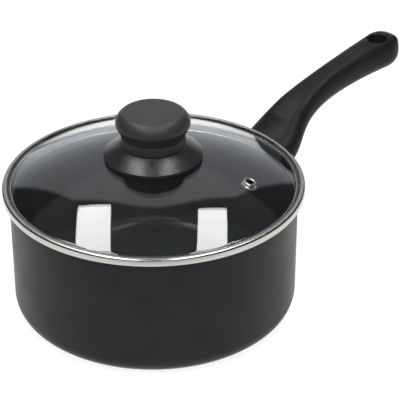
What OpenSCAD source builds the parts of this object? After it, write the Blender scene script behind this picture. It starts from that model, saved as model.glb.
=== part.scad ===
// Saucepan with a domed glass lid. Millimetres, Z up.
// The origin is the middle of the pan's base, on the surface it stands on.
// The long handle points along +X. The lid sits centred on the pan.

/* [Pan] */
// Outer radius of the wall at the top
wall_r = 101.3; // [95:0.1:110]
// Height of the pan to the top of its rim
pan_h = 91.9; // [85:0.1:110]
// How much smaller the wall's radius is at the bottom than at the top
wall_taper = 0.4; // [0:0.1:2]
// Outer radius of the round corner between wall and base
corner_r = 17; // [12:0.1:20]
// Thickness of the wall below the lid seat
wall_t = 3.2; // [2.8:0.1:4]
// Thickness of the floor
floor_t = 4; // [3:0.1:6]
// Depth below the rim of the wider lid seat
seat_depth = 11.2; // [10:0.1:16]
// Radius of the lid seat
seat_r = 99.5; // [99.3:0.1:99.8]
// How far the rolled rim stands out from the wall
rim_out = 1.8; // [1:0.1:2.4]
// Radius of the steel disc in the base
disc_r = 72; // [60:1:76]
// Thickness of the steel disc in the base
disc_t = 0.8; // [0.5:0.1:1.2]

/* [Lid] */
// Outer radius of the steel band
band_r = 106; // [105.5:0.1:107]
// Height of the outside of the steel band
band_h = 5.5; // [5:0.1:6]
// Thickness of the sheet steel of the band
band_t = 0.45; // [0.4:0.05:0.5]
// Inner radius of the band's top lip
lip_r = 102.7; // [102:0.1:103.5]
// Outer radius of the collar that drops inside the pan
collar_r = 99.0; // [98.6:0.1:99.1]
// How far the collar reaches below the rim
collar_drop = 5.6; // [4:0.1:8]
// Thickness of the glass
glass_t = 4; // [3:0.1:4]
// Height of the top of the dome above the band
dome_h = 21.6; // [18:0.1:26]
// Distance of the steam vent from the middle of the lid
vent_dist = 70.6; // [55:0.1:80]
// Direction of the steam vent, turned from the handle
vent_turn = -63.6; // [-180:0.1:180]
// Radius of the hole through the vent eyelet
vent_hole_r = 2.7; // [2:0.1:3]
// How far the lid is drawn lifted off the pan
lid_lift = 0; // [0:1:150]

/* [Knob] */
// Largest radius of the knob's cap
cap_r = 26; // [24:0.1:28]
// Height of the knob's flat top above the band
knob_top = 53.2; // [52:0.1:58]
// Radius of the knob's flat top
cap_flat_r = 20.6; // [19:0.1:21]
// Radius of the collar below the cap
neck_r = 22.4; // [21:0.1:23]
// Outer radius of the flared skirt
skirt_r = 34.8; // [30:0.1:38]

/* [Handle] */
// Height at which the handle meets the wall
handle_z = 73.7; // [70:0.1:74]
// Distance of the handle's tip from the middle of the pan
handle_reach = 254.5; // [230:0.5:280]
// Height of the handle's tip
handle_tip_z = 121.5; // [115:0.1:130]
// Width of the handle where it meets the pan
root_w = 37; // [34:0.5:40]
// Thickness of the handle where it meets the pan
root_t = 32; // [30:0.5:34]
// Width of the handle at its rounded end
end_w = 29.5; // [28:0.5:36]
// Thickness of the handle at its rounded end
end_t = 28; // [20:0.5:28]
// Radius of the hanging hole
hang_r = 7.4; // [5:0.1:8]

/* [Hidden] */
$fn = 180;

// Heights of the lid, from the rim that it rests on
band_top = pan_h + band_h;
flange_bottom = pan_h + 2 * band_t;
flange_top = flange_bottom + glass_t;
glass_edge_r = band_r - band_t;
glass_round = glass_t / 2;
band_round = glass_round + band_t;

// Dome: a sphere through the flange's inner edge and the top of the dome
dome_edge_r = lip_r - 2.2;
dome_rise = band_top + dome_h - flange_top;
dome_r = (dome_edge_r * dome_edge_r + dome_rise * dome_rise) / (2 * dome_rise);
dome_cz = band_top + dome_h - dome_r;
inner_dome_r = dome_r - glass_t;
glass_bottom = dome_cz + inner_dome_r;
glass_apex = dome_cz + dome_r;

// Vent
vent_tilt = asin(vent_dist / dome_r);
vent_barrel_r = vent_hole_r + 0.6;
vent_flange_r = vent_hole_r + 1.9;

// Stack under and over the glass at the knob
screw_r = 2.5;
screw_gap = 0.4;
glass_hole_r = 5;
gasket_r = 12;
gasket_top = glass_apex + 1.2;
washer_top = glass_bottom - 1.6;
washer_t = 1.2;
washer_r = 10.5;
lock_t = 1.2;
lock_r = 4.6;
screw_seat = washer_top - washer_t - lock_t;
screw_head_h = 3;
screw_head_r = 4.6;

// Knob
skirt_rim_z = band_top + 21.9;
skirt_top_z = band_top + 29.3;
skirt_lip = 1.9;
skirt_t = 2.4;
hub_r = 13;
groove_z = band_top + 36.1;
groove_r = neck_r - 0.6;
cap_low_z = band_top + 43;
cap_top_z = band_top + knob_top;
cap_round = 2;
shoulder_h = cap_top_z - cap_low_z - cap_round;
shoulder_in = (pow(cap_r, 2) - pow(cap_flat_r, 2) - pow(shoulder_h, 2)) / 2 / (cap_r - cap_flat_r);
insert_r = 4;
insert_h = 12;
screw_len_in_knob = 10;

// Handle fixing: a screw along +X into a boss on the wall
boss_r = 6.5;
boss_end = wall_r + 11.7;
boss_gap = 0.2;
clamp_end = boss_end + boss_gap + 4.8;
handle_screw_r = 2.5;
handle_screw_hole_r = 2.9;
counterbore_r = 5.6;
handle_lock_t = 1.2;
guard_t = 0.8;
guard_r = wall_r + 0.15;

// Curve of a cubic with four control values
function cubic(s, a, b, c, d) =
  pow(1 - s, 3) * a + 3 * pow(1 - s, 2) * s * b + 3 * (1 - s) * s * s * c + pow(s, 3) * d;
function cubic_slope(s, a, b, c, d) =
  3 * pow(1 - s, 2) * (b - a) + 6 * (1 - s) * s * (c - b) + 3 * s * s * (d - c);

// Middle line of the handle in the XZ plane, s from 0 at the wall to 1 at the tip
function line_x(s) = cubic(s, wall_r, wall_r + 42, wall_r + 7, handle_reach);
function line_z(s) = cubic(s, handle_z, handle_z + 11, handle_tip_z - 7.3, handle_tip_z);
function line_dx(s) = cubic_slope(s, wall_r, wall_r + 42, wall_r + 7, handle_reach);
function line_dz(s) = cubic_slope(s, handle_z, handle_z + 11, handle_tip_z - 7.3, handle_tip_z);
function line_w(s) = cubic(s, root_w, root_w + 28, -1.5, end_w);
function line_t(s) = cubic(s, root_t, root_t - 10.5, root_t - 18, end_t);

// Rings: one inside the wall, evenly along the grip, then closer round the tip
grip_sides = 32;
grip_rings = 36;
tip_rings = 9;
tip_s = 0.65 * end_w / line_dx(1);
root_back = 6;
function ring_s(i) = i <= grip_rings
  ? i / grip_rings * (1 - tip_s)
  : 1 - tip_s * (1 - sin(90 * (i - grip_rings) / (tip_rings + 0.35)));
function tip_u(s) = max(0, (s - (1 - tip_s)) / tip_s);
function tip_w(s) = sqrt(1 - pow(tip_u(s), 2));
function tip_t(s) = pow(tip_w(s), 0.6);

// Cross-section: rounded below, flatter above once past the neck
function blend(s, a, b) = let (k = min(1, max(0, (s - a) / (b - a)))) k * k * (3 - 2 * k);
function top_power(s) = 2.3 + blend(s, 0.4, 0.6);
function signed_pow(v, p) = sign(v) * pow(abs(v), p);
function section_y(s, a) = line_w(s) / 2 * tip_w(s)
  * signed_pow(cos(a), 2 / (sin(a) > 0 ? top_power(s) : 2.3));
function section_n(s, a) = line_t(s) / 2 * tip_t(s)
  * signed_pow(sin(a), 2 / (sin(a) > 0 ? top_power(s) : 2.3));

// One point of a ring, back is how far the ring is moved towards the pan
function ring_point(s, a, back) = let (
    dx = line_dx(s),
    dz = line_dz(s),
    len = sqrt(dx * dx + dz * dz),
    n = section_n(s, a)
  ) [
    line_x(s) - back * dx / len - n * dz / len,
    section_y(s, a),
    line_z(s) - back * dz / len + n * dx / len
  ];
grip_points = concat(
  [for (j = [0:grip_sides - 1]) ring_point(0, 360 * j / grip_sides, root_back)],
  [for (i = [0:grip_rings + tip_rings]) for (j = [0:grip_sides - 1])
    ring_point(ring_s(i), 360 * j / grip_sides, 0)]
);
last_ring = grip_rings + tip_rings + 1;
grip_faces = concat(
  [[for (j = [0:grip_sides - 1]) j]],
  [[for (j = [grip_sides - 1:-1:0]) last_ring * grip_sides + j]],
  [for (i = [0:last_ring - 1]) for (j = [0:grip_sides - 1]) for (half = [0, 1])
    let (
      k = (j + 1) % grip_sides,
      a = i * grip_sides,
      b = (i + 1) * grip_sides
    ) half == 0 ? [a + j, b + j, b + k] : [a + j, b + k, a + k]]
);

// Hanging hole, square to the handle's top face and dished round its upper end
hang_back = 20;
dish_depth = 2;
hang_s = 1 - hang_back / line_dx(1);
hang_x = line_x(hang_s);
hang_z = line_z(hang_s);
hang_tilt = -atan2(line_dz(hang_s), line_dx(hang_s));

// Outline of the pan's inside, base corner rounded
module pan_inside() {
  r_low = wall_r - wall_taper - wall_t;
  corner = corner_r - wall_t;
  polygon([
    [0, floor_t],
    [r_low - corner, floor_t],
    [r_low, floor_t + corner],
    [wall_r - wall_t, pan_h + 1],
    [0, pan_h + 1]
  ]);
  translate([r_low - corner, floor_t + corner]) circle(r = corner);
}

// Outline of the pan's outside, with the rolled rim that the lid's band rests on
module pan_outside() {
  r_low = wall_r - wall_taper;
  bead = 0.8;
  bead_r = wall_r + rim_out - bead;
  polygon([
    [0, 0],
    [r_low - corner_r, 0],
    [r_low, corner_r],
    [wall_r, pan_h - 2.2],
    [bead_r, pan_h - 2 * bead],
    [bead_r, pan_h],
    [0, pan_h]
  ]);
  translate([r_low - corner_r, corner_r]) circle(r = corner_r);
  translate([bead_r, pan_h - bead]) circle(r = bead);
}

module pan_body() {
  color([0.19, 0.2, 0.21]) difference() {
    rotate_extrude() {
      difference() {
        pan_outside();
        pan_inside();
        polygon([
          [0, pan_h - seat_depth],
          [wall_r - wall_t - 0.1, pan_h - seat_depth],
          [seat_r, pan_h - seat_depth + 1.6],
          [seat_r, pan_h + 1],
          [0, pan_h + 1]
        ]);
      }
    }
    translate([0, 0, -1]) cylinder(r = disc_r, h = 1 + disc_t);
  }
}

// Steel disc pressed into the base, with two rings of holes
module base_disc() {
  holes = 12;
  color([0.7, 0.7, 0.69]) difference() {
    cylinder(r = disc_r, h = disc_t);
    for (row = [0, 1]) {
      for (i = [0:holes - 1]) {
        rotate([0, 0, (i + row / 2) * 360 / holes])
          translate([28 + row * 24, 0, -1]) cylinder(r = 2.5, h = 3, $fn = 32);
      }
    }
  }
}

// Wall of the pan as a solid, for trimming what sits against it
module wall_cutter(r) {
  translate([0, 0, -1]) cylinder(r = r, h = pan_h + 60);
}

// Threaded boss welded to the wall
module handle_boss() {
  color([0.75, 0.75, 0.74]) difference() {
    translate([wall_r - 3, 0, handle_z]) rotate([0, 90, 0])
      cylinder(r = boss_r, h = boss_end - wall_r + 3);
    wall_cutter(wall_r);
    translate([wall_r + 1.5, 0, handle_z]) rotate([0, 90, 0])
      cylinder(r = handle_screw_r, h = 20);
  }
}

// Outline of the guard: the grip's section where it meets the wall, a little larger,
// and cut off level below the rim
guard_sides = 64;
guard_grow = 0.9;
guard_top = pan_h - 2.6 - handle_z;
guard_outline = [for (j = [0:guard_sides - 1]) let (a = 360 * j / guard_sides) [
  (root_w / 2 + guard_grow) * signed_pow(cos(a), 2 / 2.3),
  min(guard_top, (root_t / 2 + guard_grow) * signed_pow(sin(a), 2 / 2.3))
]];

// Thin steel plate between the hot wall and the grip
module flame_guard() {
  color([0.72, 0.72, 0.71]) difference() {
    intersection() {
      translate([wall_r - 6, 0, handle_z]) rotate([90, 0, 90])
        linear_extrude(9) polygon(guard_outline);
      wall_cutter(guard_r + guard_t);
    }
    wall_cutter(guard_r);
    translate([wall_r - 6, 0, handle_z]) rotate([0, 90, 0])
      cylinder(r = boss_r + 0.1, h = 12);
  }
}

module handle_grip() {
  color([0.13, 0.13, 0.13]) difference() {
    polyhedron(points = grip_points, faces = grip_faces, convexity = 6);
    wall_cutter(guard_r + guard_t);
    translate([wall_r - 10, 0, handle_z]) rotate([0, 90, 0])
      cylinder(r = boss_r + boss_gap, h = boss_end + boss_gap - wall_r + 10);
    translate([wall_r, 0, handle_z]) rotate([0, 90, 0])
      cylinder(r = handle_screw_hole_r, h = 30);
    translate([clamp_end, 0, handle_z]) rotate([0, 90, 0])
      cylinder(r = counterbore_r, h = 40);
    translate([hang_x, 0, hang_z]) rotate([0, hang_tilt, 0]) {
      cylinder(r = hang_r, h = 60, center = true);
      translate([0, 0, line_t(hang_s) / 2 - dish_depth])
        cylinder(r1 = hang_r, r2 = hang_r + 7.2, h = 2 * dish_depth);
    }
  }
}

// Split ring, its gap at the bottom
module split_washer(r_in, r_out, t) {
  difference() {
    cylinder(r = r_out, h = t);
    translate([0, 0, -1]) cylinder(r = r_in, h = t + 2);
    translate([0, -0.5, -1]) cube([r_out + 1, 1, t + 2]);
  }
}

// Round-headed screw along +Z, seat at 0 and shank below, with a cross recess
module cross_screw(shank_r, shank_len, head_r, head_h) {
  arm = head_r * 0.55;
  slot = 1;
  difference() {
    union() {
      translate([0, 0, -shank_len]) cylinder(r = shank_r, h = shank_len);
      cylinder(r = head_r, h = head_h * 0.5);
      intersection() {
        translate([0, 0, head_h * 0.5 - head_r * 1.2]) sphere(r = head_r * 1.562);
        translate([0, 0, head_h * 0.5]) cylinder(r = head_r, h = head_h * 0.5);
      }
    }
    translate([0, 0, head_h]) cube([2 * arm, slot, head_h], center = true);
    translate([0, 0, head_h]) cube([slot, 2 * arm, head_h], center = true);
  }
}

module handle_lock_washer() {
  color([0.7, 0.7, 0.7]) translate([clamp_end, 0, handle_z]) rotate([0, 90, 0])
    split_washer(handle_screw_r + 0.2, counterbore_r - 0.8, handle_lock_t);
}

module handle_screw() {
  color([0.78, 0.78, 0.77]) translate([clamp_end + handle_lock_t, 0, handle_z])
    rotate([0, 90, 0])
      cross_screw(handle_screw_r, clamp_end + handle_lock_t - wall_r - 4, counterbore_r - 0.9, 3);
}

// Everything on the lid is drawn through this
module lid_place() {
  translate([0, 0, lid_lift]) children();
}

// Frame of the vent: Z is square to the glass, 0 on its outer face
module vent_place() {
  lid_place() translate([0, 0, dome_cz]) rotate([0, 0, vent_turn])
    rotate([0, vent_tilt, 0]) translate([0, 0, dome_r]) children();
}

module lid_glass() {
  color([0.8, 0.86, 0.86, 0.35]) difference() {
    lid_place() rotate_extrude() difference() {
      union() {
        intersection() {
          translate([0, dome_cz]) circle(r = dome_r, $fn = 720);
          translate([0, flange_bottom]) square([dome_edge_r, 60]);
        }
        translate([dome_edge_r - 0.5, flange_bottom])
          square([glass_edge_r - glass_round - dome_edge_r + 0.5, glass_t]);
        translate([glass_edge_r - glass_round, flange_bottom + glass_round])
          circle(r = glass_round);
      }
      translate([0, dome_cz]) circle(r = inner_dome_r, $fn = 720);
    }
    lid_place() translate([0, 0, band_top]) cylinder(r = glass_hole_r, h = 40);
    vent_place() cylinder(r = vent_barrel_r, h = 20, center = true);
  }
}

// Folded steel band: a channel round the glass edge and a collar inside the pan
module lid_rim_band() {
  glass_middle = glass_edge_r - glass_round;
  color([0.78, 0.77, 0.75]) lid_place() rotate_extrude() {
    difference() {
      union() {
        translate([lip_r, pan_h]) square([band_r - band_round - lip_r, band_h]);
        translate([lip_r, pan_h]) square([band_r - lip_r, band_h - band_round]);
        translate([band_r - band_round, band_top - band_round]) circle(r = band_round);
      }
      translate([0, flange_bottom]) square([glass_middle, glass_t]);
      translate([glass_middle, flange_bottom + glass_round]) circle(r = glass_round);
    }
    translate([collar_r - band_t, pan_h]) square([lip_r - collar_r + band_t + 0.01, 2 * band_t]);
    translate([collar_r - band_t, pan_h - collar_drop]) square([band_t, collar_drop + 0.01]);
    translate([collar_r - band_t, pan_h - collar_drop]) circle(r = band_t);
  }
}

// Steel eyelet that lines the steam hole, rolled over above and below
module vent_eyelet() {
  roll = 0.65;
  low = glass_t + 0.7;
  color([0.85, 0.85, 0.84]) vent_place() rotate_extrude() {
    translate([vent_flange_r - roll, roll]) circle(r = roll);
    translate([vent_hole_r + roll, roll]) circle(r = roll);
    translate([vent_hole_r + roll, 0]) square([vent_flange_r - vent_hole_r - 2 * roll, 2 * roll]);
    translate([vent_hole_r, -low]) square([vent_barrel_r - vent_hole_r, low + roll]);
    translate([vent_hole_r, -low - 0.6]) square([1.4, 0.6]);
  }
}

module vent_backing_ring() {
  color([0.7, 0.7, 0.69]) vent_place() translate([0, 0, -glass_t - 0.7]) difference() {
    cylinder(r = vent_flange_r + 0.8, h = 0.6);
    translate([0, 0, -1]) cylinder(r = vent_barrel_r, h = 3);
  }
}

// Knob: wide cap, undercut down to a grooved neck, hollow inside round a central boss
module knob_grip() {
  shoulder_r = cap_r - shoulder_in;
  color([0.28, 0.28, 0.28]) lid_place() difference() {
    rotate_extrude() {
      translate([0, skirt_top_z]) square([neck_r, groove_z - skirt_top_z]);
      polygon([
        [0, groove_z - 0.01],
        [groove_r, groove_z - 0.01],
        [groove_r, groove_z + 0.6],
        [neck_r, groove_z + 1],
        [cap_r - 0.2, cap_low_z + 1.13],
        [0, cap_low_z + 1.13]
      ]);
      translate([cap_r - cap_round, cap_low_z + cap_round]) circle(r = cap_round);
      intersection() {
        translate([shoulder_in, cap_low_z + cap_round]) circle(r = shoulder_r);
        translate([0, cap_low_z + cap_round]) square([cap_r, shoulder_h]);
      }
      translate([0, cap_low_z + 1.1]) square([cap_r - cap_round, cap_round - 1]);
      translate([0, cap_low_z + cap_round]) square([shoulder_in, shoulder_h]);
    }
    translate([0, 0, skirt_top_z - 1]) difference() {
      cylinder(r = neck_r - 3.4, h = 13);
      translate([0, 0, -1]) cylinder(r = insert_r + 4, h = 15);
    }
    translate([0, 0, skirt_top_z - 1]) cylinder(r = insert_r, h = insert_h + 1);
  }
}

// Brass thread moulded into the knob, with a groove that grips the plastic
module knob_insert() {
  color([0.78, 0.62, 0.32]) lid_place() translate([0, 0, skirt_top_z]) difference() {
    cylinder(r = insert_r, h = insert_h);
    translate([0, 0, -1]) cylinder(r = screw_r, h = insert_h);
    for (z = [3, 7.5]) {
      translate([0, 0, z]) difference() {
        cylinder(r = insert_r + 1, h = 1.2);
        translate([0, 0, -1]) cylinder(r = insert_r - 0.6, h = 4);
      }
    }
  }
}

// Flared skirt between the knob and the glass
module knob_skirt() {
  color([0.3, 0.3, 0.29]) lid_place() difference() {
    rotate_extrude() {
      polygon([
        [0, gasket_top],
        [hub_r, gasket_top],
        [hub_r, skirt_top_z - skirt_t],
        [neck_r - 1.2, skirt_top_z - skirt_t],
        [skirt_r - skirt_t, skirt_rim_z - skirt_lip],
        [skirt_r - 0.5, skirt_rim_z - skirt_lip],
        [skirt_r, skirt_rim_z - skirt_lip + 0.5],
        [skirt_r, skirt_rim_z - 0.3],
        [skirt_r - 0.5, skirt_rim_z],
        [neck_r + 0.4, skirt_top_z],
        [0, skirt_top_z]
      ]);
    }
    translate([0, 0, gasket_top - 1]) cylinder(r = screw_r + screw_gap, h = 20);
  }
}

// Soft ring between the skirt and the glass, its face domed to match
module knob_gasket_upper() {
  color([0.1, 0.1, 0.1]) lid_place() difference() {
    translate([0, 0, glass_apex - 2]) cylinder(r = gasket_r, h = gasket_top - glass_apex + 2);
    translate([0, 0, dome_cz]) sphere(r = dome_r, $fn = 360);
    translate([0, 0, glass_apex - 3]) cylinder(r = screw_r + screw_gap, h = 20);
  }
}

// Soft ring under the glass, with a sleeve up into the hole
module knob_gasket_lower() {
  color([0.1, 0.1, 0.1]) lid_place() difference() {
    union() {
      intersection() {
        translate([0, 0, washer_top]) cylinder(r = washer_r, h = 4);
        translate([0, 0, dome_cz]) sphere(r = inner_dome_r, $fn = 360);
      }
      translate([0, 0, washer_top]) cylinder(r = glass_hole_r - 0.1, h = glass_bottom - washer_top + 2);
    }
    translate([0, 0, washer_top - 1]) cylinder(r = screw_r + screw_gap, h = 20);
  }
}

module knob_washer() {
  color([0.75, 0.75, 0.74]) lid_place() translate([0, 0, washer_top - washer_t]) difference() {
    cylinder(r = washer_r, h = washer_t);
    translate([0, 0, -1]) cylinder(r = screw_r + 0.3, h = washer_t + 2);
  }
}

module knob_lock_washer() {
  color([0.7, 0.7, 0.7]) lid_place() translate([0, 0, screw_seat])
    split_washer(screw_r + 0.2, lock_r, lock_t);
}

module knob_screw() {
  shank = skirt_top_z + screw_len_in_knob - screw_seat;
  color([0.78, 0.78, 0.77]) lid_place() translate([0, 0, screw_seat]) rotate([180, 0, 0])
    cross_screw(screw_r, shank, screw_head_r, screw_head_h);
}

pan_body();
base_disc();
handle_boss();
flame_guard();
handle_grip();
handle_screw();
handle_lock_washer();
lid_glass();
lid_rim_band();
vent_eyelet();
vent_backing_ring();
knob_grip();
knob_insert();
knob_skirt();
knob_gasket_upper();
knob_gasket_lower();
knob_washer();
knob_lock_washer();
knob_screw();
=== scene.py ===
"""Saucepan with a domed glass lid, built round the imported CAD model.

Blender's lengths are in metres. Outlines and the handle's curves are in millimetres.
"""

from math import acos, asin, atan2, cos, hypot, pi, radians, sin, sqrt, tan

import bmesh
import bpy
from mathutils import Matrix, Vector


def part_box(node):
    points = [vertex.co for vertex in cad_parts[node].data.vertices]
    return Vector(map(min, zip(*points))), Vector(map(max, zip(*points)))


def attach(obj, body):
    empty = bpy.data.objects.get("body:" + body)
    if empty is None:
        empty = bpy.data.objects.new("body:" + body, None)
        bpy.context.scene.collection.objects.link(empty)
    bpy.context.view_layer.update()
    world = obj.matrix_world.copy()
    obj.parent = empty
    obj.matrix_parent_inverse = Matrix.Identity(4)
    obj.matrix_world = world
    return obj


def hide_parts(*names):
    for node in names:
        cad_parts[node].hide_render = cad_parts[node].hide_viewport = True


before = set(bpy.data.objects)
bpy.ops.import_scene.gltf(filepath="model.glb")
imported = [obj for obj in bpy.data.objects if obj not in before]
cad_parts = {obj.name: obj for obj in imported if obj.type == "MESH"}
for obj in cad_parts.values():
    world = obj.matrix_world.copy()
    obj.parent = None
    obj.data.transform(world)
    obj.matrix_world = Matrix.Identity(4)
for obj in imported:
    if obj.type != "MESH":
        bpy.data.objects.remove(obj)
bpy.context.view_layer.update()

MM = 0.001
STEPS = 192  # flats round a lathe piece
SCENE = bpy.context.scene


# ---------------------------------------------------------------- places, from the frame

pan_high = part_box("pan_body")[1]
band_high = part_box("lid_rim_band")[1]
glass_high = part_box("lid_glass")[1]
knob_low, knob_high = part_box("knob_grip")
skirt_low, skirt_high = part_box("knob_skirt")
eyelet_low, eyelet_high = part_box("vent_eyelet")
disc_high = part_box("base_disc")[1]
boss_low, boss_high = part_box("handle_boss")
washer_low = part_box("handle_lock_washer")[0]

PAN_H = pan_high.z / MM
BAND_TOP = band_high.z / MM
BAND_R = band_high.x / MM
APEX = glass_high.z / MM  # top of the glass

# sizes that more than one piece shares, in millimetres
WALL_R = 101.3  # outside of the pan's wall, under the rim
BAND_T = 0.45  # the band's sheet
GLASS_T = 4.0
VENT_HOLE_R = 3.3  # hole in the glass for the vent's eyelet


# ---------------------------------------------------------------- shape helpers


def arc_corner(before, corner, after, radius, count):
    """Points of a round that cuts the corner between two straight edges."""
    a = (before - corner).normalized()
    b = (after - corner).normalized()
    half = acos(max(-1.0, min(1.0, a.dot(b)))) / 2
    most = 0.49  # share of an edge that one round may take
    reach = min(radius / tan(half), most * (before - corner).length, most * (after - corner).length)
    radius = reach * tan(half)
    middle = corner + (a + b).normalized() * (radius / sin(half))
    start = corner + a * reach - middle
    sweep = pi - 2 * half
    if start.x * a.y - start.y * a.x > 0:
        sweep = -sweep
    return [middle + Matrix.Rotation(sweep * i / count, 2) @ start for i in range(count + 1)]


def rounded(corners, closed=False):
    """An outline in (r, z) from corners (r, z, round radius), in millimetres."""
    points = []
    total = len(corners)
    for i, (r, z, radius) in enumerate(corners):
        here = Vector((r, z))
        ends = not closed and i in (0, total - 1)
        if radius <= 0 or ends:
            points.append(here)
            continue
        before = Vector(corners[i - 1][:2])
        after = Vector(corners[(i + 1) % total][:2])
        count = max(4, min(24, int(radius * 3)))
        points += arc_corner(before, here, after, radius, count)
    return points


def arc_points(middle, radius, start, end, count):
    """Points of an arc round middle, angles in radians."""
    return [
        Vector((middle[0] + radius * cos(t), middle[1] + radius * sin(t)))
        for t in (start + (end - start) * i / count for i in range(count + 1))
    ]


def new_piece(name, bm):
    """The finished bmesh as an object in the scene."""
    mesh = bpy.data.meshes.new(name)
    bm.to_mesh(mesh)
    bm.free()
    piece = bpy.data.objects.new(name, mesh)
    SCENE.collection.objects.link(piece)
    return piece


def smooth(piece, angle=32):
    """Smooth shading, with edges sharper than the angle left crisp."""
    mesh = piece.data
    mesh.polygons.foreach_set("use_smooth", [True] * len(mesh.polygons))
    mesh.set_sharp_from_angle(angle=radians(angle))
    mesh.update()


def lathe(name, outline, closed, place=Matrix.Identity(4), steps=STEPS, angle=32):
    """Turns an outline in (r, z) millimetres round Z. An open outline starts and ends on the axis."""
    area = sum(a[0] * b[1] - b[0] * a[1] for a, b in zip(outline, [*outline[1:], outline[0]]))
    if area < 0:
        outline = list(reversed(outline))
    nearest = 1e-3  # closer points than this are one point, in millimetres
    on_axis = 1e-7
    bm = bmesh.new()
    rings = []
    last = None
    for point in outline:
        if last and hypot(point[0] - last[0], point[1] - last[1]) < nearest:
            continue
        last = point
        r = point[0] * MM
        z = point[1] * MM
        if r < on_axis:
            rings.append([bm.verts.new((0, 0, z))])
        else:
            turns = [2 * pi * i / steps for i in range(steps)]
            rings.append([bm.verts.new((r * cos(turn), r * sin(turn), z)) for turn in turns])
    pairs = list(zip(rings, rings[1:]))
    if closed:
        pairs.append((rings[-1], rings[0]))
    for low, high in pairs:
        for i in range(steps):
            k = (i + 1) % steps
            if len(low) == 1 and len(high) == 1:
                continue
            if len(low) == 1:
                bm.faces.new((low[0], high[k], high[i]))
            elif len(high) == 1:
                bm.faces.new((low[i], low[k], high[0]))
            else:
                bm.faces.new((low[i], low[k], high[k], high[i]))
    piece = new_piece(name, bm)
    piece.data.transform(place)
    smooth(piece, angle)
    return piece


def cut(piece, cutters, angle=32):
    """Takes the cutters out of the piece for good."""
    for cutter in cutters:
        change = piece.modifiers.new("cut", "BOOLEAN")
        change.operation = "DIFFERENCE"
        change.solver = "EXACT"
        change.object = cutter
    bpy.context.view_layer.update()
    result = piece.evaluated_get(bpy.context.evaluated_depsgraph_get())
    done = bpy.data.meshes.new_from_object(result)
    piece.modifiers.clear()
    piece.data = done
    for cutter in cutters:
        bpy.data.objects.remove(cutter)
    smooth(piece, angle)


# ---------------------------------------------------------------- material helpers


class Tree:
    """A node tree, with short ways to add to it."""

    def __init__(self, tree):
        self.tree = tree

    def add(self, kind, **values):
        """A node with the given properties."""
        node = self.tree.nodes.new(kind)
        for key, value in values.items():
            setattr(node, key, value)
        return node

    def link(self, source, target):
        """Joins an output socket to an input socket."""
        self.tree.links.new(source, target)

    def ramp(self, source, stops):
        """A colour ramp through (position, colour or grey) stops."""
        node = self.add("ShaderNodeValToRGB")
        ramp = node.color_ramp
        while len(ramp.elements) < len(stops):
            ramp.elements.new(0.5)
        for element, (position, colour) in zip(ramp.elements, stops):
            element.position = position
            if not hasattr(colour, "__len__"):
                colour = (colour, colour, colour)
            element.color = (*colour, 1)
        self.link(source, node.inputs["Fac"])
        return node.outputs["Color"]

    def fade(self, value, start, end):
        """Rises smoothly from 0 at start to 1 at end."""
        node = self.add("ShaderNodeMapRange", interpolation_type="SMOOTHSTEP")
        node.inputs["From Min"].default_value = start
        node.inputs["From Max"].default_value = end
        self.link(value, node.inputs["Value"])
        return node.outputs["Result"]

    def maths(self, how, *values):
        """One step of arithmetic on numbers or sockets."""
        node = self.add("ShaderNodeMath", operation=how)
        for socket, value in zip(node.inputs, values):
            if isinstance(value, (int, float)):
                socket.default_value = value
            else:
                self.link(value, socket)
        return node.outputs[0]

    def studio_axes(self, place):
        """The parts of a place along the studio's right, away and up."""
        turned = self.add("ShaderNodeVectorRotate", rotation_type="Z_AXIS")
        turned.inputs["Angle"].default_value = radians(HANDLE_TURN)
        self.link(place, turned.inputs["Vector"])
        split = self.add("ShaderNodeSeparateXYZ")
        self.link(turned.outputs[0], split.inputs[0])
        return split.outputs


class Nodes(Tree):
    """A material's node tree, round its Principled shader."""

    def __init__(self, name):
        self.material = bpy.data.materials.new(name)
        self.material.use_nodes = True
        super().__init__(self.material.node_tree)
        self.shader = self.tree.nodes["Principled BSDF"]
        self.place = self.add("ShaderNodeTexCoord").outputs["Object"]

    def set(self, **values):
        """Plain values on the shader's own sockets."""
        for key, value in values.items():
            self.shader.inputs[key.replace("_", " ")].default_value = value

    def feed(self, source, socket):
        """Joins an output socket to one of the shader's own."""
        self.link(source, self.shader.inputs[socket])

    def noise(self, scale, detail=2.0, rough=0.5, stretch=None):
        """Noise at so many cells a metre."""
        node = self.add("ShaderNodeTexNoise")
        node.inputs["Scale"].default_value = scale
        node.inputs["Detail"].default_value = detail
        node.inputs["Roughness"].default_value = rough
        source = self.place
        if stretch:
            mapping = self.add("ShaderNodeMapping")
            mapping.inputs["Scale"].default_value = stretch
            self.link(source, mapping.inputs["Vector"])
            source = mapping.outputs["Vector"]
        self.link(source, node.inputs["Vector"])
        return node.outputs["Fac"]

    def bump(self, height, strength, depth):
        """Bump of so many metres on the shader's normal."""
        node = self.add("ShaderNodeBump")
        node.inputs["Strength"].default_value = strength
        node.inputs["Distance"].default_value = depth
        self.link(height, node.inputs["Height"])
        self.feed(node.outputs["Normal"], "Normal")


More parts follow.
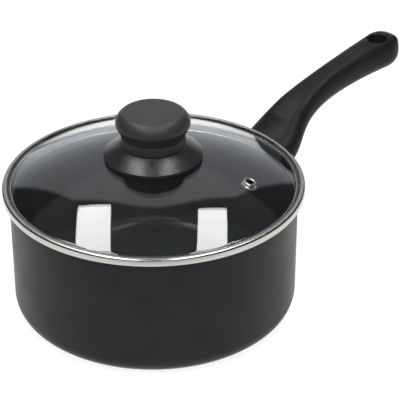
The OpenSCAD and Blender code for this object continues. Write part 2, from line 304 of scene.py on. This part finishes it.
def coating_material():
    """Charcoal non-stick coating: mottled, with a faint spray texture, glossier inside the wall."""
    n = Nodes("nonstick_coating")
    dark = (0.0135, 0.0143, 0.0162)
    light = (0.018, 0.019, 0.0214)
    n.feed(n.ramp(n.noise(38, 4, 0.55), [(0.3, dark), (0.7, light)]), "Base Color")
    rough = n.ramp(n.noise(60, 3), [(0.3, 0.34), (0.7, 0.42)])
    flat = n.add("ShaderNodeVectorMath", operation="MULTIPLY")
    flat.inputs[1].default_value = (1, 1, 0)
    n.link(n.place, flat.inputs[0])
    radius = n.add("ShaderNodeVectorMath", operation="LENGTH")
    n.link(flat.outputs["Vector"], radius.inputs[0])
    # metres from the axis: the wall's inner face is nearer than the first, the lid seat past the last
    outside = n.fade(radius.outputs["Value"], 0.0985, 0.0992)
    inner_share = 0.45  # roughness inside the wall, as a share of that outside
    share = n.maths("MULTIPLY_ADD", outside, 1 - inner_share, inner_share)
    n.feed(n.maths("MULTIPLY", rough, share), "Roughness")
    n.bump(n.noise(2600, 2), 0.12, 0.00003)
    n.set(Specular_IOR_Level=0.13)
    return n.material


def phenolic_material(name, dark, light, rough, grain, depth, strength=0.35, shine=0.5):
    """Moulded black phenolic: mottled, worn to a sheen between two roughnesses, with a fine grain."""
    n = Nodes(name)
    n.feed(n.ramp(n.noise(55, 4, 0.6), [(0.3, dark), (0.7, light)]), "Base Color")
    n.feed(n.ramp(n.noise(45, 3), [(0.3, rough[0]), (0.7, rough[1])]), "Roughness")
    n.bump(n.noise(grain, 2), strength, depth)
    n.set(Specular_IOR_Level=shine)
    return n.material


def steel_material(name, tint, rough):
    """Bare metal with faint turning marks, between two roughnesses."""
    n = Nodes(name)
    marks = n.noise(900, 2, 0.5, (1, 1, 14))
    shade = 0.93  # tint of the marks, as a share of the metal's
    n.feed(n.ramp(marks, [(0.35, [c * shade for c in tint]), (0.65, tint)]), "Base Color")
    n.feed(n.ramp(marks, [(0.3, rough[0]), (0.7, rough[1])]), "Roughness")
    n.set(Metallic=1.0)
    n.bump(marks, 0.05, 0.00002)
    return n.material


def glass_material():
    """Clear tempered glass that lets the lamps through, with a faint smear."""
    n = Nodes("tempered_glass")
    n.set(Base_Color=(0.93, 0.96, 0.955, 1), IOR=1.5, Transmission_Weight=1.0)
    n.feed(n.ramp(n.noise(30, 3), [(0.45, 0.0), (0.8, 0.02)]), "Roughness")
    clear = n.add("ShaderNodeBsdfTransparent")
    clear.inputs["Color"].default_value = (0.9, 0.93, 0.925, 1)
    ray = n.add("ShaderNodeLightPath")
    mix = n.add("ShaderNodeMixShader")
    n.link(ray.outputs["Is Shadow Ray"], mix.inputs["Fac"])
    n.link(n.shader.outputs["BSDF"], mix.inputs[1])
    n.link(clear.outputs["BSDF"], mix.inputs[2])
    output = n.tree.nodes["Material Output"]
    n.link(mix.outputs["Shader"], output.inputs["Surface"])
    return n.material


def silicone_material():
    """Soft black silicone."""
    n = Nodes("silicone")
    n.feed(n.ramp(n.noise(200, 2), [(0.3, 0.02), (0.7, 0.035)]), "Base Color")
    n.set(Roughness=0.6)
    n.bump(n.noise(3000, 2), 0.2, 0.00004)
    return n.material


COATING = coating_material()
HANDLE = phenolic_material(
    "handle_phenolic",
    dark=(0.0095, 0.0095, 0.0093),
    light=(0.014, 0.014, 0.0135),
    rough=(0.36, 0.46),
    grain=3200,
    depth=0.00006,
    shine=0.13,
)
KNOB = phenolic_material(
    "knob_phenolic",
    dark=(0.022, 0.0222, 0.022),
    light=(0.03, 0.0305, 0.0298),
    rough=(0.38, 0.48),
    grain=3200,
    depth=0.00005,
    shine=0.35,
)
SKIRT = phenolic_material(
    "skirt_phenolic",
    dark=(0.012, 0.012, 0.0115),
    light=(0.02, 0.02, 0.0195),
    rough=(0.2, 0.28),
    grain=1700,
    depth=0.00011,
    strength=0.9,
)
POLISHED = steel_material("polished_steel", (0.56, 0.546, 0.516), (0.18, 0.28))
PLAIN_STEEL = steel_material("fastener_steel", (0.62, 0.62, 0.61), (0.25, 0.4))
BASE_STEEL = steel_material("base_steel", (0.55, 0.55, 0.54), (0.3, 0.45))
ALUMINIUM = steel_material("bare_aluminium", (0.75, 0.75, 0.75), (0.3, 0.45))
BRASS = steel_material("brass", (0.72, 0.52, 0.25), (0.25, 0.4))
GLASS = glass_material()
SILICONE = silicone_material()


def dress(piece, material):
    """Gives a whole piece or CAD node one material."""
    piece.data.materials.clear()
    piece.data.materials.append(material)


def finish_piece(piece, body, node, material):
    """Material, body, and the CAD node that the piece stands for."""
    dress(piece, material)
    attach(piece, body)
    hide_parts(node)


# ---------------------------------------------------------------- pan


def make_pan():
    """The pressed pan: round base corner, lid seat and rolled rim."""
    foot_r = 100.9  # outside of the wall at the bottom, before its corner is rounded
    wall_t = 3.2
    floor_t = 4
    corner = 17
    disc_r = disc_high.x / MM + 0.05
    disc_t = 0.8
    seat_r = 99.5
    seat_low = PAN_H - 11.2
    seat_slope = 1.6
    rim_r = pan_high.x / MM
    outline = rounded(
        [
            (0, disc_t, 0),
            (disc_r, disc_t, 0),
            (disc_r, 0, 0.25),
            (foot_r, 0, corner),
            (WALL_R, PAN_H - 2.4, 0.6),
            (rim_r - 0.8, PAN_H - 1.65, 0.3),
            (rim_r, PAN_H - 1.6, 0.7),
            (rim_r, PAN_H, 0.75),
            (seat_r, PAN_H, 0.8),
            (seat_r, seat_low + seat_slope, 0.6),
            (WALL_R - wall_t, seat_low, 0.8),
            (foot_r - wall_t, floor_t, corner - wall_t),
            (0, floor_t, 0),
        ]
    )
    pan = lathe("pan_shell", outline, False)
    finish_piece(pan, "pan", "pan_body", COATING)


# ---------------------------------------------------------------- lid


DOME_EDGE = 100.5  # where the dome meets the flat edge
FLANGE_LOW = PAN_H + 2 * BAND_T
FLANGE_TOP = FLANGE_LOW + GLASS_T
DOME_RISE = APEX - FLANGE_TOP
DOME_R = (DOME_EDGE**2 + DOME_RISE**2) / (2 * DOME_RISE)
DOME_CZ = APEX - DOME_R


def make_glass():
    """The domed glass, with its flat edge, centre hole and vent hole."""
    hole = 5.0
    edge = BAND_R - 0.5
    edge_round = 1.93
    flats = 72
    inner_r = DOME_R - GLASS_T
    middle = (0, DOME_CZ)
    outer_start = pi / 2 - asin(hole / DOME_R)
    outer_end = pi / 2 - asin(DOME_EDGE / DOME_R)
    inner_start = pi / 2 - acos((FLANGE_LOW - DOME_CZ) / inner_r)
    inner_end = pi / 2 - asin(hole / inner_r)
    outline = arc_points(middle, DOME_R, outer_start, outer_end, flats)
    outline += rounded(
        [
            (DOME_EDGE, FLANGE_TOP, 0),
            (edge, FLANGE_TOP, edge_round),
            (edge, FLANGE_LOW, edge_round),
            (DOME_EDGE, FLANGE_LOW, 0),
        ]
    )[1:-1]
    outline += arc_points(middle, inner_r, inner_start, inner_end, flats)
    glass = lathe("lid_dome", outline, True, angle=40)
    reach = 6  # how far the cutter goes on each side of the glass's outer face
    drill = [(0, -reach), (VENT_HOLE_R, -reach), (VENT_HOLE_R, reach), (0, reach)]
    cut(glass, [lathe("cutter", drill, False, vent_place(), 48)], 40)
    finish_piece(glass, "lid", "lid_glass", GLASS)


def vent_place():
    """Frame of the vent: Z square to the glass, 0 on its outer face."""
    vent_r = 70.6  # from the lid's axis
    middle = (eyelet_low + eyelet_high) / 2
    turn = atan2(middle.y, middle.x)
    tilt = asin(vent_r / DOME_R)
    up = Matrix.Translation((0, 0, DOME_CZ * MM))
    out = Matrix.Translation((0, 0, DOME_R * MM))
    return up @ Matrix.Rotation(turn, 4, "Z") @ Matrix.Rotation(tilt, 4, "Y") @ out


def make_band():
    """The folded steel band: a channel round the glass edge and a collar inside the pan."""
    lip_r = 102.7
    lip_z = BAND_TOP - 0.5
    collar_r = 99.0
    foot = PAN_H - 5.6
    fold = PAN_H + 2 * BAND_T
    outline = rounded(
        [
            (lip_r, lip_z, 0),
            (lip_r, BAND_TOP, 0.24),
            (BAND_R, BAND_TOP, 2.4),
            (BAND_R, PAN_H, 0.7),
            (collar_r, PAN_H, 0.6),
            (collar_r, foot, 0),
        ]
    )
    outline += arc_points((collar_r - BAND_T, foot), BAND_T, 0, -1.5 * pi, 18)[1:]
    outline += rounded(
        [
            (collar_r - BAND_T, foot + BAND_T, 0),
            (collar_r - BAND_T, fold, 0.6),
            (BAND_R - BAND_T, fold, 1.95),
            (BAND_R - BAND_T, lip_z, 1.95),
            (lip_r, lip_z, 0),
        ]
    )[1:-1]
    band = lathe("lid_band", outline, True, steps=256, angle=50)
    finish_piece(band, "lid", "lid_rim_band", POLISHED)


def make_eyelet():
    """The vent's eyelet, rolled over on both faces of the glass."""
    hole = 2.7
    top = 1.35
    head_r = 4.6
    tail_r = 4.1
    tail = -GLASS_T - 0.7
    end = tail - 0.6
    outline = rounded(
        [
            (hole, top, 0.65),
            (head_r, top, 0.65),
            (head_r + 0.05, 0.0, 0.2),
            (VENT_HOLE_R, 0.0, 0.05),
            (VENT_HOLE_R, tail, 0.05),
            (tail_r, tail, 0.2),
            (tail_r, end, 0.25),
            (hole, end, 0.3),
        ],
        closed=True,
    )
    eyelet = lathe("vent_ring", outline, True, vent_place(), 64, 40)
    finish_piece(eyelet, "lid", "vent_eyelet", POLISHED)


# ---------------------------------------------------------------- knob


def make_knob():
    """The cap, neck and collar of the knob, hollow inside."""
    low = knob_low.z / MM
    top = knob_high.z / MM
    r = knob_high.x / MM
    cap_low = top - 10.2
    widest = cap_low + 2
    neck_r = 22.4
    groove = low + 6.8
    groove_r = neck_r - 0.6
    bore_r = 4.0
    stem_r = 8.0
    hollow_r = 19.0
    hollow_top = low + 12
    shoulder_in = 17.07  # middle of the shoulder's round
    shoulder_r = r - shoulder_in
    sweep = asin((top - widest) / shoulder_r)
    shoulder = arc_points((shoulder_in, widest), shoulder_r, 0.0, sweep, 14)
    outline = rounded(
        [
            (0, hollow_top, 0),
            (bore_r, hollow_top, 0),
            (bore_r, low, 0.1),
            (stem_r, low, 0.1),
            (stem_r, hollow_top, 0.3),
            (hollow_r, hollow_top, 0.3),
            (hollow_r, low, 0.1),
            (neck_r, low, 0.45),
            (neck_r, groove, 0.3),
            (groove_r, groove, 0.1),
            (groove_r, groove + 0.6, 0.1),
            (neck_r, groove + 1, 0.4),
            (r, cap_low + 1.54, 2.0),
            (r, widest, 0),
        ]
    )[:-1]
    outline += shoulder[:-1]
    outline += rounded([(*shoulder[-2], 0), (shoulder[-1].x, top, 2.4), (0, top, 0)])[1:]
    knob = lathe("knob_cap", outline, False)
    finish_piece(knob, "lid", "knob_grip", KNOB)


def make_skirt():
    """The flared skirt that spreads the knob's load on the glass."""
    low = skirt_low.z / MM
    top = skirt_high.z / MM
    r = skirt_high.x / MM
    hole = 2.9
    foot_r = 13.0
    top_r = 23.2
    sheet = 2.4
    rim = top - 7.4
    rim_low = rim - 1.9
    outline = rounded(
        [
            (hole, low, 0.1),
            (foot_r, low, 0.3),
            (foot_r, top - sheet, 0.5),
            (top_r - 2, top - sheet, 0.8),
            (r - sheet, rim_low, 0.3),
            (r, rim_low, 0.5),
            (r, rim + 0.1, 0.6),
            (top_r, top, 0.8),
            (hole, top, 0.1),
        ],
        closed=True,
    )
    skirt = lathe("knob_flare", outline, True)
    finish_piece(skirt, "lid", "knob_skirt", SKIRT)


# ---------------------------------------------------------------- handle


def cubic(s, a, b, c, d):
    """Value of a cubic with four control values."""
    k = 1 - s
    return k**3 * a + 3 * k * k * s * b + 3 * k * s * s * c + s**3 * d


def cubic_slope(s, a, b, c, d):
    """Slope of the same cubic."""
    k = 1 - s
    return 3 * k * k * (b - a) + 6 * k * s * (c - b) + 3 * s * s * (d - c)


def blend(s, a, b):
    """Smooth step from 0 at a to 1 at b."""
    k = min(1.0, max(0.0, (s - a) / (b - a)))
    return k * k * (3 - 2 * k)


def signed_pow(value, power):
    """A power of the size, with the value's own sign."""
    return (1 if value >= 0 else -1) * abs(value) ** power


def dome(across, power):
    """Height of a superellipse of that power, 0 at its sides and 1 in the middle."""
    return (1 - across**power) ** (1 / power)


REACH = 254.5  # of the handle's tip, from the pan's axis
# cubics from the wall, s = 0, to the tip, s = 1: line of the grip's middle, width and thickness
LINE_X = (WALL_R, WALL_R + 42, WALL_R + 7, REACH)
LINE_Z = (73.7, 84.7, 114.2, 121.5)
LINE_W = (37.0, 65.0, -1.5, 29.5)
LINE_T = (32.0, 21.5, 14.0, 28.0)
TIP_S = 0.65 * LINE_W[3] / cubic_slope(1, *LINE_X)  # share of s that the rounded tip takes
EYE_S = 1 - 20 / cubic_slope(1, *LINE_X)  # the hanging hole is about 20 back from the tip
EYE_R = 7.4

TOP_POWER = 3  # squareness of the upper skin's sides
LOW_POWER = 2.3  # squareness of the lower skin
CROWN_POWER = 2.3
FLAT_POWER = 3.2


def top_height(s, across):
    """Height of the grip's upper skin: a round crown, cut by a flatter face past the neck."""
    thick = cubic(s, *LINE_T) / 2
    crown = thick * (1 + 0.3 * blend(s, 0.34, 0.68)) * dome(across, CROWN_POWER)
    flat = thick * (1 + 0.2 * (1 - blend(s, 0.28, 0.48))) * dome(across, FLAT_POWER)
    soft = 0.12  # height over which the edge between them is rounded
    gap = max(0.0, 1 - abs(crown - flat) / soft)
    return min(crown, flat) - soft * gap * gap / 4


def grip_point(s, a, back=0.0):
    """A point of the grip's skin at s along it and angle a round it, in millimetres."""
    dx = cubic_slope(s, *LINE_X)
    dz = cubic_slope(s, *LINE_Z)
    length = hypot(dx, dz)
    u = max(0.0, (s - (1 - TIP_S)) / TIP_S)
    round_w = sqrt(max(0.0, 1 - u * u))
    round_t = round_w**0.6
    power = TOP_POWER if sin(a) > 0 else LOW_POWER
    across = signed_pow(cos(a), 2 / power)
    if sin(a) > 0:
        up = top_height(s, min(1.0, abs(across))) * round_t
    else:
        up = cubic(s, *LINE_T) / 2 * round_t * signed_pow(sin(a), 2 / LOW_POWER)
    return (
        cubic(s, *LINE_X) - (back * dx + up * dz) / length,
        cubic(s, *LINE_W) / 2 * round_w * across,
        cubic(s, *LINE_Z) - (back * dz - up * dx) / length,
    )


def grip_skin():
    """The grip's closed skin, solid and without its holes. It starts inside the wall."""
    sides = 120
    rings = 200
    tip_rings = 28
    sunk = 6.0
    tip_open = 0.2  # leaves a small last face in place of a point
    places = [(0.0, sunk)]
    places += [(i / rings * (1 - TIP_S), 0.0) for i in range(rings)]
    for i in range(tip_rings + 1):
        places.append((1 - TIP_S * (1 - sin(pi / 2 * i / (tip_rings + tip_open))), 0.0))
    bm = bmesh.new()
    skin = []
    for s, back in places:
        ring = [grip_point(s, 2 * pi * j / sides, back) for j in range(sides)]
        skin.append([bm.verts.new([v * MM for v in point]) for point in ring])
    for low, high in zip(skin, skin[1:]):
        for j in range(sides):
            k = (j + 1) % sides
            bm.faces.new((low[j], high[j], high[k], low[k]))
    bm.faces.new(skin[0])
    bm.faces.new(list(reversed(skin[-1])))
    bmesh.ops.recalc_face_normals(bm, faces=bm.faces)
    return new_piece("handle_moulding", bm)


def wall_cutter():
    """Takes away what is inside the wall, and a gap for the steel plate."""
    r = WALL_R + 1
    return lathe("wall_cutter", [(0, -1), (r, -1), (r, 160), (0, 160)], False)


def socket_cutter():
    """The bore along the screw: socket for the boss, the screw's hole and its recess."""
    z = (boss_low.z + boss_high.z) / 2
    along = Matrix.Translation((0, 0, z)) @ Matrix.Rotation(pi / 2, 4, "Y")
    start = 80
    socket_r = 6.7
    socket_end = boss_high.x / MM + 0.2
    hole_r = 2.9
    seat = washer_low.x / MM
    recess_r = 5.6
    end = seat + 40
    outline = [
        (0, start),
        (socket_r, start),
        (socket_r, socket_end),
        (hole_r, socket_end),
        (hole_r, seat),
        (recess_r, seat),
        (recess_r, end),
        (0, end),
    ]
    return lathe("socket_cutter", outline, False, along, 64)


def eye_cutter():
    """The hanging hole, with a dished mouth in the upper face."""
    tilt = -atan2(cubic_slope(EYE_S, *LINE_Z), cubic_slope(EYE_S, *LINE_X))
    middle = (cubic(EYE_S, *LINE_X) * MM, 0, cubic(EYE_S, *LINE_Z) * MM)
    eye = Matrix.Translation(middle) @ Matrix.Rotation(tilt, 4, "Y")
    dish = cubic(EYE_S, *LINE_T) / 2 - 2
    low = -30
    rise = 10
    flare = 1.8 * rise
    outline = [
        (0, low, 0),
        (EYE_R, low, 0),
        (EYE_R, dish, 0.8),
        (EYE_R + flare, dish + rise, 0),
        (0, dish + rise, 0),
    ]
    return lathe("eye_cutter", rounded(outline), False, eye, 96)


def make_grip():
    """The moulded handle with its hanging hole, socket and screw recess."""
    grip = grip_skin()
    cut(grip, [wall_cutter(), socket_cutter(), eye_cutter()])
    finish_piece(grip, "pan", "handle_grip", HANDLE)


# ---------------------------------------------------------------- CAD nodes that keep their shape


KEPT = {
    "base_disc": BASE_STEEL,
    "handle_boss": ALUMINIUM,
    "flame_guard": POLISHED,
    "handle_screw": PLAIN_STEEL,
    "handle_lock_washer": PLAIN_STEEL,
    "vent_backing_ring": PLAIN_STEEL,
    "knob_insert": BRASS,
    "knob_gasket_upper": SILICONE,
    "knob_gasket_lower": SILICONE,
    "knob_washer": PLAIN_STEEL,
    "knob_lock_washer": PLAIN_STEEL,
    "knob_screw": PLAIN_STEEL,
}


def dress_kept_nodes():
    """Gives each CAD node that stays in view its own metal or silicone."""
    for node, material in KEPT.items():
        dress(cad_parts[node], material)


# ---------------------------------------------------------------- studio


HANDLE_TURN = 42  # degrees that the handle is turned away from the picture's right
CAM_PLANE = 0.00036  # how far the level that the camera is measured from is below the band's top
CAM_RISE = radians(29.22)
CAM_AWAY = 1.1908
AIM_SIDE = 0.027
AIM_UP = -0.012
CAM_LENS = 153


def studio_point(right, away, up):
    """A point given by the viewer's right, away and up, from the middle of the lid's rim."""
    turn = Matrix.Rotation(radians(-HANDLE_TURN), 4, "Z")
    return turn @ Vector((right, away, up)) + Vector((0, 0, BAND_TOP * MM - CAM_PLANE))


def make_camera():
    """The camera at the photograph's viewing angle, aimed a little off the lid's middle."""
    data = bpy.data.cameras.new("camera")
    camera = bpy.data.objects.new("camera", data)
    SCENE.collection.objects.link(camera)
    spot = studio_point(0, -CAM_AWAY * cos(CAM_RISE), CAM_AWAY * sin(CAM_RISE))
    forward = (studio_point(0, 0, 0) - spot).normalized()
    right = (studio_point(1, 0, 0) - studio_point(0, 0, 0)).normalized()
    up = right.cross(forward)
    forward = (forward + right * tan(AIM_SIDE) + up * tan(AIM_UP)).normalized()
    camera.location = spot
    camera.rotation_mode = "QUATERNION"
    camera.rotation_quaternion = forward.to_track_quat("-Z", "Y")
    data.lens = CAM_LENS
    data.sensor_width = 36
    data.clip_end = 50
    SCENE.camera = camera


def add_soft_box(name, outline):
    """A glowing level panel above the lid, kept out of the picture. Its outline is right and away."""
    height = 1.0
    radiance = 9.4
    bm = bmesh.new()
    bm.faces.new([bm.verts.new(studio_point(right, away, height)) for right, away in outline])
    panel = new_piece(name, bm)
    n = Nodes(name)
    n.set(Base_Color=(0, 0, 0, 1), Specular_IOR_Level=0.0)
    n.set(Emission_Color=(1, 1, 1, 1), Emission_Strength=radiance)
    dress(panel, n.material)
    panel.visible_camera = False
    panel.visible_shadow = False


def add_wash(name, place, radiance, size):
    """A soft square light, aimed at the lid, that leaves no reflection."""
    data = bpy.data.lights.new(name, "AREA")
    data.shape = "SQUARE"
    data.size = size
    data.energy = radiance * pi * size**2
    lamp = bpy.data.objects.new(name, data)
    lamp.location = studio_point(*place)
    lamp.rotation_mode = "QUATERNION"
    lamp.rotation_quaternion = (studio_point(0, 0, 0) - lamp.location).to_track_quat("-Z", "Y")
    lamp.visible_camera = False
    lamp.visible_glossy = False
    SCENE.collection.objects.link(lamp)


def make_lights():
    """Two long soft boxes, one to each side of the lid's middle, and two weak fills."""
    add_soft_box("left_box", [(-0.52, -1.3), (-0.275, -1.3), (-0.258, 0.604), (-0.478, 0.708)])
    add_soft_box("right_box", [(0.2, -1.3), (0.41, -1.3), (0.45, 0.631), (0.262, 0.535)])
    add_wash("wash", (0, 0, 1.6), 0.2, 4.0)
    add_wash("front_fill", (0, -1.5, 0.9), 2.0, 1.0)


def make_floor():
    """A plain pale floor that glows under and behind the pan, its glow fading out softly."""
    bm = bmesh.new()
    bmesh.ops.create_grid(bm, x_segments=1, y_segments=1, size=6)
    floor = new_piece("floor", bm)
    n = Nodes("floor_paper")
    side, away, _ = n.studio_axes(n.place)
    front = n.fade(away, -0.38, -0.15)
    left = n.maths("MULTIPLY", front, n.fade(side, -0.7, -0.18))
    glow = n.maths("MULTIPLY", left, n.fade(side, 0.85, 0.31))
    n.feed(n.maths("MULTIPLY_ADD", glow, 0.62, 0.25), "Emission Strength")
    n.feed(n.ramp(n.noise(3, 2), [(0.3, 0.2), (0.7, 0.22)]), "Base Color")
    n.set(Roughness=0.9, Specular_IOR_Level=0.0, Emission_Color=(1, 1, 1, 1))
    dress(floor, n.material)


def make_world():
    """A pale backdrop behind the pan, low and not wide, in a dark room."""
    world = bpy.data.worlds.new("studio")
    SCENE.world = world
    world.use_nodes = True
    n = Tree(world.node_tree)
    place = n.add("ShaderNodeTexCoord").outputs["Generated"]
    side, away, up = n.studio_axes(place)
    turn = n.maths("ABSOLUTE", n.maths("ARCTAN2", side, away))
    rise = n.maths("ARCSINE", up)
    # brightness by height, 0 at the horizon and 1 overhead
    level = n.ramp(
        n.maths("DIVIDE", rise, pi / 2),
        [(0.0, 1.0), (0.07, 0.85), (0.14, 0.62), (0.24, 0.45), (0.34, 0.45), (0.55, 0.6), (0.7, 0.6)],
    )
    # the backdrop's arched upper edge and upright sides, as angles
    middle_top = radians(59.5)
    arch = 1.15
    half_width = radians(27.8)
    edge = radians(1.2)
    drop = n.maths("MULTIPLY", n.maths("MULTIPLY", turn, turn), arch)
    top = n.maths("SUBTRACT", middle_top, drop)
    soft = [(0, 0.0), (1, 1.0)]
    below = n.maths("MULTIPLY_ADD", n.maths("SUBTRACT", top, rise), 1 / edge, 0.5)
    under = n.ramp(below, soft)
    inward = n.maths("MULTIPLY_ADD", n.maths("SUBTRACT", half_width, turn), 1 / edge, 0.5)
    within = n.ramp(inward, soft)
    lit = n.maths("MULTIPLY", n.maths("MULTIPLY", under, within), level)
    dark = 0.04
    background = n.tree.nodes["Background"]
    n.link(n.maths("MAXIMUM", lit, dark), background.inputs["Strength"])
    background.inputs["Color"].default_value = (0.97, 0.99, 1.05, 1)


SCENE.view_settings.view_transform = "Standard"
make_camera()
make_world()
make_floor()
make_lights()
make_pan()
make_glass()
make_band()
make_eyelet()
make_knob()
make_skirt()
make_grip()
dress_kept_nodes()
